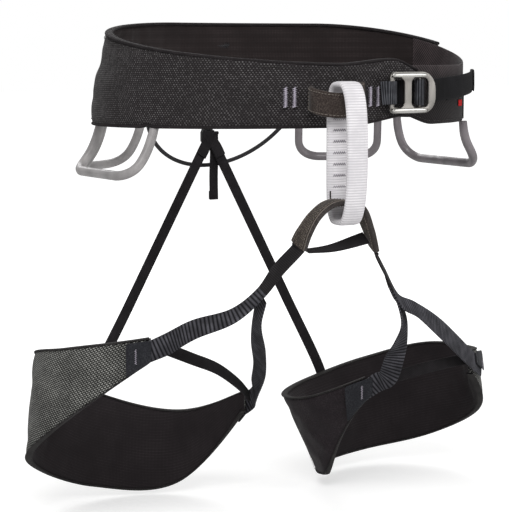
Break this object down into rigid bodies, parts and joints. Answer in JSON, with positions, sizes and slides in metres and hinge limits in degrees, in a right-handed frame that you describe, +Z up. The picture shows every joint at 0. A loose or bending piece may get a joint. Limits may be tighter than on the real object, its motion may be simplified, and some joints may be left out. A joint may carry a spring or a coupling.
{
  "type": "climbing harness",
  "caption": "Sit harness for rock climbing: padded waist belt with side buckle, belay loop, tie-in points, two hung leg loops, gear loops and rear risers.",
  "frame": {"origin": "inside the waist opening at the mid-height of the belt's front, on the plane between the leg loops", "axes": "+X to the wearer's left, -Y to the wearer's front, +Z up"},
  "size_m": [0.4485, 0.3067, 0.4163],
  "materials": {
    "outer_weave": "matt charcoal weave with pale flecks",
    "black_webbing": "matt ribbed webbing",
    "foam": "matt foam",
    "inner_mesh": "fine matt mesh",
    "edge_tape": "matt folded tape",
    "tongue_fabric": "smooth twill",
    "red_tag": "woven tab",
    "bar_tack_thread": "satin thread",
    "buckle_satin": "satin",
    "buckle_polished": "polished",
    "ribbed_webbing": "ribbed webbing",
    "tie_in_webbing": "matt webbing",
    "tie_in_sleeve": "abrasion-proof sleeve, brown",
    "belay_webbing": "ribbed white webbing",
    "grey_stitch": "thread",
    "elastic": "matt elastic webbing",
    "loop_plastic": "moulded, semi-matt",
    "black_cord": "braided cord",
    "hook_plastic": "moulded, black",
    "leg_outer_mesh": "grey and black mesh weave",
    "tab_synthetic": "smooth synthetic leather"
  },
  "bodies": {
    "waistbelt": {"belt_outer_shell": "outer_weave", "belt_load_webbing": "black_webbing", "belt_foam_core": "foam", "belt_inner_liner": "inner_mesh", "belt_edge_binding": "edge_tape", "belt_tongue": "tongue_fabric", "side_tag": "red_tag", "waist_bar_tacks": "bar_tack_thread", "waist_strap": "black_webbing", "buckle_anchor_webbing": "ribbed_webbing", "buckle_back_frame": "buckle_satin", "upper_tie_in_loop": "tie_in_webbing", "upper_tie_in_sleeve": "tie_in_sleeve", "lower_tie_in_loop": "tie_in_webbing", "lower_tie_in_sleeve": "tie_in_sleeve", "leg_cross_strap": "elastic", "riser_hook": "hook_plastic", "riser_cord_loop": "black_cord"},
    "belay_loop": {"belay_loop": "belay_webbing", "belay_loop_stitching": "grey_stitch"},
    "right_leg_loop": {"right_leg_outer_shell": "leg_outer_mesh", "right_leg_foam": "foam", "right_leg_liner": "inner_mesh", "right_leg_binding": "edge_tape", "right_leg_front_strap": "ribbed_webbing", "right_leg_inner_strap": "ribbed_webbing", "right_leg_elastic": "elastic", "right_leg_end_tabs": "tab_synthetic", "right_leg_bar_tacks": "bar_tack_thread", "right_riser": "elastic"},
    "left_leg_loop": {"left_leg_outer_shell": "leg_outer_mesh", "left_leg_foam": "foam", "left_leg_liner": "inner_mesh", "left_leg_binding": "edge_tape", "left_leg_front_strap": "ribbed_webbing", "left_leg_inner_strap": "ribbed_webbing", "left_leg_elastic": "elastic", "left_leg_end_tabs": "tab_synthetic", "left_leg_bar_tacks": "bar_tack_thread", "left_riser": "elastic"},
    "haul_loop": {"haul_loop": "black_cord"},
    "pull_tab": {"riser_pull_tab": "elastic"},
    "buckle_frame": {"buckle_front_frame": "buckle_polished"},
    "strap_tail": {"waist_strap_tail": "black_webbing"},
    "gear_loop_right_front": {"gear_loop_right_front": "loop_plastic"},
    "gear_loop_right_rear": {"gear_loop_right_rear": "loop_plastic"},
    "gear_loop_left_front": {"gear_loop_left_front": "loop_plastic"},
    "gear_loop_left_rear": {"gear_loop_left_rear": "loop_plastic"}
  },
  "joints": [
    {"name": "belay_loop_turn", "type": "hinge", "parent": "waistbelt", "child": "belay_loop", "pos_m": [-0.032, -0.1555, -0.046], "axis": [0, 0, 1], "range_deg": [-10, 10], "stiffness_Nm_per_rad": 0.05},
    {"name": "right_leg_swing", "type": "hinge", "parent": "waistbelt", "child": "right_leg_loop", "pos_m": [-0.069, -0.142, -0.121], "axis": [0.2079, 0.9481, 0.2407], "range_deg": [-4, 26], "stiffness_Nm_per_rad": 8},
    {"name": "left_leg_swing", "type": "hinge", "parent": "waistbelt", "child": "left_leg_loop", "pos_m": [0.002, -0.144, -0.126], "axis": [0.0074, -0.9652, -0.2616], "range_deg": [-4, 26], "stiffness_Nm_per_rad": 8},
    {"name": "gear_tilt_right_front", "type": "hinge", "parent": "waistbelt", "child": "gear_loop_right_front", "pos_m": [-0.15006, 0.00092, -0.0328], "axis": [0.0128, 0.9999, 0], "range_deg": [-18, 30], "stiffness_Nm_per_rad": 0.4},
    {"name": "gear_tilt_right_rear", "type": "hinge", "parent": "waistbelt", "child": "gear_loop_right_rear", "pos_m": [-0.11477, 0.08043, -0.0328], "axis": [0.8228, 0.5683, 0], "range_deg": [-18, 30], "stiffness_Nm_per_rad": 0.4},
    {"name": "gear_tilt_left_front", "type": "hinge", "parent": "waistbelt", "child": "gear_loop_left_front", "pos_m": [0.15619, -0.00444, -0.0328], "axis": [-0.0642, -0.9979, 0], "range_deg": [-18, 30], "stiffness_Nm_per_rad": 0.4},
    {"name": "gear_tilt_left_rear", "type": "hinge", "parent": "waistbelt", "child": "gear_loop_left_rear", "pos_m": [0.11501, 0.08733, -0.0328], "axis": [0.8671, -0.4982, 0], "range_deg": [-18, 30], "stiffness_Nm_per_rad": 0.4},
    {"name": "haul_loop_lift", "type": "hinge", "parent": "waistbelt", "child": "haul_loop", "pos_m": [-0.00296, 0.10636, -0.0308], "axis": [0.9992, 0.0388, 0], "range_deg": [0, 45], "stiffness_Nm_per_rad": 0.1},
    {"name": "pull_tab_swing", "type": "hinge", "parent": "waistbelt", "child": "pull_tab", "pos_m": [0, 0.1216, -0.042], "axis": [0, 1, 0], "range_deg": [-25, 25], "stiffness_Nm_per_rad": 0.02},
    {"name": "buckle_frame_tilt", "type": "hinge", "parent": "waistbelt", "child": "buckle_frame", "pos_m": [0.02685, -0.13469, 0], "axis": [0, 0, -1], "range_deg": [0, 35], "stiffness_Nm_per_rad": 0.05},
    {"name": "waist_strap_feed", "type": "hinge", "parent": "waistbelt", "child": "strap_tail", "pos_m": [0.0025, 0.0747, 0.0045], "axis": [-0.0412, -0.0322, 0.9986], "range_deg": [0, 9], "stiffness_Nm_per_rad": 0.5}
  ]
}
